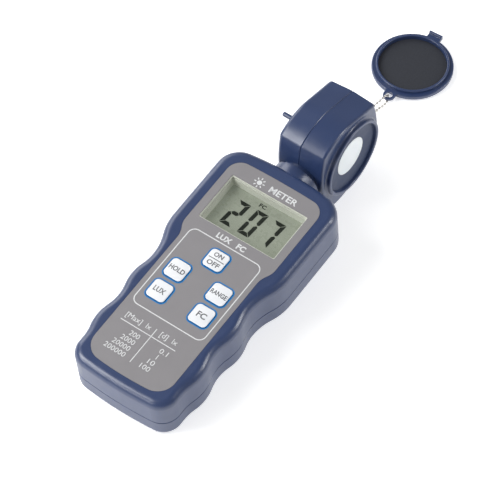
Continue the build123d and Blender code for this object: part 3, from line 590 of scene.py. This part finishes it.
def add_words(mesh, words, box, low, high, weight=0.0):
    """Adds plain lettering that fills the box (x0, x1, y0, y1), or its natural width if x1 is None."""
    font = bpy.data.curves.new("words", "FONT")
    font.body = words
    font.extrude = 0.5
    font.offset = weight
    font.resolution_u = 3
    holder = linked("words", font)
    graph = bpy.context.evaluated_depsgraph_get()
    letters = bpy.data.meshes.new_from_object(holder.evaluated_get(graph))
    bpy.data.objects.remove(holder)
    xs = [v.co.x for v in letters.vertices]
    ys = [v.co.y for v in letters.vertices]
    x0, x1, y0, y1 = box
    grow_y = (y1 - y0) / (max(ys) - min(ys))
    grow_x = (x1 - x0) / (max(xs) - min(xs)) if x1 is not None else grow_y
    for vertex in letters.vertices:
        x, y, z = vertex.co
        vertex.co = (x0 + (x - min(xs)) * grow_x, y0 + (y - min(ys)) * grow_y, low if z < 0 else high)
    mesh.from_mesh(letters)
    bpy.data.meshes.remove(letters)


def piece_of(name, mesh, material, body, place=METER):
    """Finishes a bmesh drawn in millimetres as a piece that rides on a body."""
    bmesh.ops.remove_doubles(mesh, verts=mesh.verts, dist=WELD)
    bmesh.ops.recalc_face_normals(mesh, faces=mesh.faces)
    mesh.transform(place @ Matrix.Scale(MM, 4))
    data = bpy.data.meshes.new(name)
    mesh.to_mesh(data)
    mesh.free()
    data.materials.append(material)
    piece = linked(name, data)
    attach(piece, body)


# ================================================================ print on the label
LABEL_LAYER = (FACE_Z - PRINT_ROOT, FACE_Z + PRINT)
BORDER_Y, BORDER_HALF_X, BORDER_HALF_Y = 67.7, 21.6, 25.7
BORDER_CORNER, BORDER_LINE = 4.0, 0.55
HEADER, HEADER_BOX, HEADER_WEIGHT = "METER", (-2.5, 14.0, 130.5, 134.1), 0.02
SUN_PLACE, SUN_RADIUS, SUN_STEPS = (-9.0, 132.4), 1.35, 24
SUN_RAYS, RAY_START, RAY_END, RAY_WIDTH = 8, 1.95, 3.1, 0.6
UNITS, UNITS_BOX, UNITS_WEIGHT = "LUX   FC", (-8.6, 8.4, 94.6, 97.8), 0.035
TABLE_RULES = (((-19.3, 31.4), (13.7, 31.4)), ((-0.9, 36.3), (-0.9, 14.4)))
TABLE_RULE_WIDTH = 0.45
TABLE_HEADS = (("[Max]  lx", (-18.4, -3.6, 32.9, 36.6)), ("[d]  lx", (2.2, 12.2, 32.9, 36.6)))
# each row: a range and its width, then a resolution and its first and last x
TABLE_ROWS = (("200", 5.7, "0.1", 7.4, 12.0), ("2000", 8.0, "1", 8.3, None),
              ("20000", 10.2, "10", 6.0, 9.8), ("200000", 12.4, "100", 4.2, 9.8))
ROW_TOP_Y, ROW_STEP, ROW_HEIGHT, ROW_RIGHT_X = 26.3, 3.87, 2.75, -5.1


def make_label_print():
    """The border round the keys, the header, the units and the table of ranges."""
    mesh = bmesh.new()
    outer = rounded_rectangle(BORDER_HALF_X, BORDER_HALF_Y, BORDER_CORNER)
    inner = rounded_rectangle(BORDER_HALF_X - BORDER_LINE, BORDER_HALF_Y - BORDER_LINE,
                              BORDER_CORNER - BORDER_LINE)
    add_band(mesh, moved(outer, 0, BORDER_Y), moved(inner, 0, BORDER_Y), *LABEL_LAYER)
    add_words(mesh, HEADER, HEADER_BOX, *LABEL_LAYER, HEADER_WEIGHT)
    add_sun_mark(mesh, *SUN_PLACE, *LABEL_LAYER)
    add_words(mesh, UNITS, UNITS_BOX, *LABEL_LAYER, UNITS_WEIGHT)
    for start, end in TABLE_RULES:
        add_bar(mesh, start, end, TABLE_RULE_WIDTH, *LABEL_LAYER)
    for words, box in TABLE_HEADS:
        add_words(mesh, words, box, *LABEL_LAYER)
    for row, (most, width, step, x0, x1) in enumerate(TABLE_ROWS):
        y = ROW_TOP_Y - ROW_STEP * row
        add_words(mesh, most, (ROW_RIGHT_X - width, ROW_RIGHT_X, y, y + ROW_HEIGHT), *LABEL_LAYER)
        add_words(mesh, step, (x0, x1, y, y + ROW_HEIGHT), *LABEL_LAYER)
    piece_of("label_print", mesh, WHITE_INK, "casing")


def add_sun_mark(mesh, x, y, low, high):
    """A plain disc with eight short rays, the usual sign for light."""
    disc = [(x + SUN_RADIUS * math.cos(a), y + SUN_RADIUS * math.sin(a))
            for a in (math.tau * i / SUN_STEPS for i in range(SUN_STEPS))]
    add_prism(mesh, disc, low, high)
    for ray in range(SUN_RAYS):
        angle = math.tau * ray / SUN_RAYS
        aim = Vector((math.cos(angle), math.sin(angle)))
        add_bar(mesh, Vector((x, y)) + aim * RAY_START, Vector((x, y)) + aim * RAY_END, RAY_WIDTH,
                low, high)


# ================================================================ print on the keys
KEY_CORNER = 2.3
KEY_BORDER = (0.26, 0.85)       # its inner and outer edge, out from the key's size
# each key: its words and their boxes about its middle
LEGENDS = {
    "on_off_key": (("ON", (-2.9, 2.5, 1.3, 3.9)), ("OFF", (-3.6, 3.5, -3.9, -1.3))),
    "hold_key": (("HOLD", (-4.5, 4.4, -1.4, 1.4)),),
    "range_key": (("RANGE", (-4.7, 4.7, -1.4, 1.2)),),
    "lux_key": (("LUX", (-3.4, 3.1, -1.5, 1.5)),),
    "fc_key": (("FC", (-2.5, 2.7, -1.7, 1.6)),)}
LEGEND_WEIGHT = 0.02
RULE_START, RULE_STEP, RULE_STEPS, RULE_WIDTH = -4.5, 0.75, 12, 0.4     # between a key's two rows


def make_key_borders():
    """The blue border printed round each key's opening."""
    mesh = bmesh.new()
    half = KEY_SIZE / 2
    inner, outer = (rounded_rectangle(half + out, half + out, KEY_CORNER + out) for out in KEY_BORDER)
    for x, y in KEYS.values():
        add_band(mesh, moved(outer, x, y), moved(inner, x, y), *LABEL_LAYER)
    piece_of("key_borders", mesh, BLUE_INK, "casing")


def make_key_legends():
    """Grey key names that follow each key's domed top."""
    dome_r = KEY_SIZE ** 2 / (8 * KEY_DOME)
    for key, rows in LEGENDS.items():
        mesh = bmesh.new()
        for words, box in rows:
            add_words(mesh, words, box, 0, PRINT, LEGEND_WEIGHT)
        if len(rows) > 1:
            for step in range(RULE_STEPS):
                x = RULE_START + RULE_STEP * step
                add_bar(mesh, (x, 0.0), (x + RULE_STEP, 0.0), RULE_WIDTH, 0, PRINT)
        for vertex in mesh.verts:
            x, y, z = vertex.co
            vertex.co.z = z + KEY_TOP + KEY_DOME - (x * x + y * y) / (2 * dome_r)
        at = Matrix.Translation(Vector((*KEYS[key], 0)) * MM)
        piece_of(key + "_legend", mesh, GREY_INK, key, METER @ at)


# ================================================================ figures on the display
DIGIT_WIDTH, DIGIT_HEIGHT, DIGIT_STROKE, DIGIT_SLANT = 7.0, 16.2, 2.15, 0.085
DIGIT_GAP = 0.2                 # between the bars of a figure
DIGIT_Y = 114.5
READING = (("2", -11.6), ("0", -0.7), ("7", 10.1))
SEGMENTS = {"2": "abged", "0": "abcdef", "7": "abc"}
UNIT_SHOWN, UNIT_BOX, UNIT_WEIGHT = "FC", (-4.4, -0.4, 124.4, 126.6), 0.03


def flipped(points, across, along):
    return [(across * x, along * y) for x, y in points]


def segment_outline(letter):
    """One bar of a seven-segment figure, its ends cut at 45 degrees."""
    w, h, t, gap = DIGIT_WIDTH / 2, DIGIT_HEIGHT / 2, DIGIT_STROKE, DIGIT_GAP
    top = [(-w + gap, h), (w - gap, h), (w - t - gap, h - t), (-w + t + gap, h - t)]
    side = [(w, h - gap), (w - t, h - t - gap), (w - t, t / 2 + gap), (w - t / 2, gap), (w, gap + t / 4)]
    middle = [(-w + gap + t / 2, 0), (-w + t + gap, t / 2), (w - t - gap, t / 2), (w - gap - t / 2, 0),
              (w - t - gap, -t / 2), (-w + t + gap, -t / 2)]
    return {"a": top, "b": side, "c": flipped(side, 1, -1), "d": flipped(top, 1, -1),
            "e": flipped(side, -1, -1), "f": flipped(side, -1, 1), "g": middle}[letter]


def make_display_figures():
    """The reading and its unit, as dark segments on the glass."""
    mesh = bmesh.new()
    low, high = LCD_Z - PRINT_ROOT, LCD_Z + PRINT
    for figure, x in READING:
        for letter in SEGMENTS[figure]:
            outline = [(x + px + DIGIT_SLANT * py, DIGIT_Y + py) for px, py in segment_outline(letter)]
            add_prism(mesh, outline, low, high)
    add_words(mesh, UNIT_SHOWN, UNIT_BOX, low, high, UNIT_WEIGHT)
    piece_of("display_figures", mesh, SEGMENT_BLACK, "casing")


make_label_print()
make_key_borders()
make_key_legends()
make_display_figures()


# ================================================================ stage
FLOOR_HALF = 3.0                # metres
FLOOR_DROP = 0.0002             # the paper lies this far below z = 0
FLOOR_GLOW = 0.55               # the paper gives this much light of its own near the meter
GLOW_RADII = (0.25, 0.8)        # where that light begins to fade, and where it ends
HORIZON_LIGHT, ZENITH_LIGHT = 0.35, 0.22
LIGHTS = (                      # name, place, aim, width, height, watts
    ("key_left", (-0.60, -0.55, 0.85), (0, 0, 0), 0.60, 0.60, 8.5),
    ("left_back", (-0.95, 0.35, 0.55), (0, 0, 0), 0.7, 0.7, 4.5),
    ("right_strip", (0.75, 0.55, 0.62), (0, 0, 0), 0.16, 0.7, 4.0),
    ("front_strip", (-0.40, -0.90, 0.50), (0, -0.1, 0), 0.7, 0.14, 2.2))


def make_floor():
    """White paper that glows round the meter."""
    data = bpy.data.meshes.new("floor")
    half = FLOOR_HALF
    data.from_pydata([(-half, -half, 0), (half, -half, 0), (half, half, 0), (-half, half, 0)], [],
                     [(0, 1, 2, 3)])
    material, tree, shader = shader_of("floor_paper", FLOOR_WHITE, 0.9)
    mottled(tree, shader, FLOOR_WHITE, 0.005, 300.0)
    length = tree.nodes.new("ShaderNodeVectorMath")
    length.operation = "LENGTH"
    tree.links.new(object_coordinates(tree), length.inputs[0])
    glow = between(tree, length.outputs["Value"], *GLOW_RADII, FLOOR_GLOW, 0.0)
    shader.inputs["Emission Color"].default_value = (1.0, 1.0, 1.0, 1.0)
    tree.links.new(glow, shader.inputs["Emission Strength"])
    data.materials.append(material)
    floor = linked("floor", data)
    floor.location.z = -FLOOR_DROP


def make_light(name, place, aim, width, height, power):
    """A rectangular lamp at a place, in metres, turned to its aim."""
    data = bpy.data.lights.new(name, "AREA")
    data.shape = "RECTANGLE"
    data.size, data.size_y = width, height
    data.energy = power
    light = bpy.data.objects.new(name, data)
    scene.collection.objects.link(light)
    light.location = place
    light.rotation_euler = (Vector(aim) - Vector(place)).to_track_quat("-Z", "Y").to_euler()


def make_world():
    """The dim room round the table, a little brighter near the horizon."""
    world = bpy.data.worlds.new("tent")
    world.use_nodes = True
    tree = world.node_tree
    background = tree.nodes["Background"]
    split = tree.nodes.new("ShaderNodeSeparateXYZ")
    tree.links.new(tree.nodes.new("ShaderNodeTexCoord").outputs["Generated"], split.inputs["Vector"])
    strength = between(tree, split.outputs["Z"], 0.1, 0.9, HORIZON_LIGHT, ZENITH_LIGHT)
    tree.links.new(strength, background.inputs["Strength"])
    background.inputs["Color"].default_value = (1.0, 1.0, 1.0, 1.0)
    scene.world = world


make_floor()
make_world()
for light in LIGHTS:
    make_light(*light)
scene.view_settings.view_transform = "Standard"
